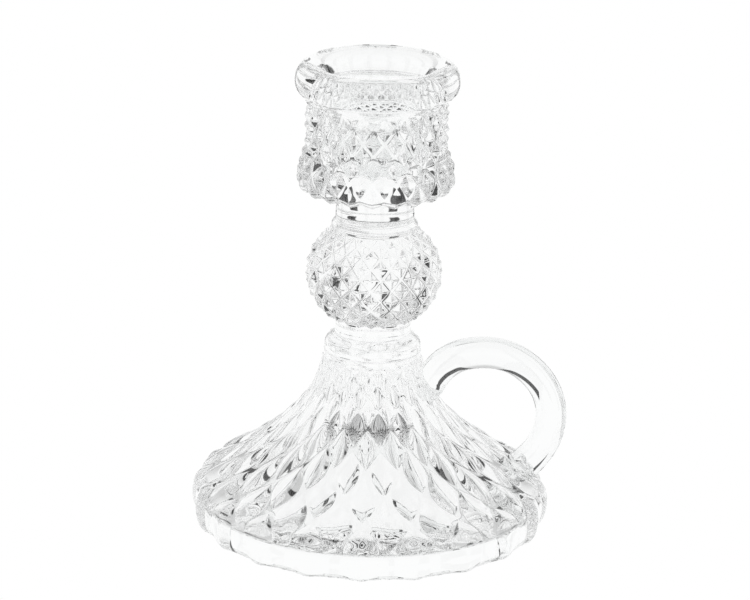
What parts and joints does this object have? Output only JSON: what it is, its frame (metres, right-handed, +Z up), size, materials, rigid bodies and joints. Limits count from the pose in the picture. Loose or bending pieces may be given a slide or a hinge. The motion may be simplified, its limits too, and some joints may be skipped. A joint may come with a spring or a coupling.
{
  "type": "glass candlestick",
  "caption": "Pressed clear glass chamber candlestick: flared hollow foot with a diamond pattern, ball knop, faceted cup with a rolled rim, and a round finger loop.",
  "frame": {"origin": "on the candlestick's axis, in the plane of the ring that the foot stands on", "axes": "+Z up the axis towards the mouth of the cup, +X towards the finger loop"},
  "size_m": [0.0956, 0.0916, 0.121],
  "materials": {
    "clear_glass": "clear colourless pressed glass, fire-polished, with a faint ripple from the mould"
  },
  "bodies": {
    "root": {"foot": "clear_glass", "shoulder": "clear_glass", "lower_neck": "clear_glass", "ball_knop": "clear_glass", "upper_neck": "clear_glass", "candle_cup": "clear_glass", "cup_rim": "clear_glass", "finger_loop": "clear_glass"}
  },
  "joints": []
}
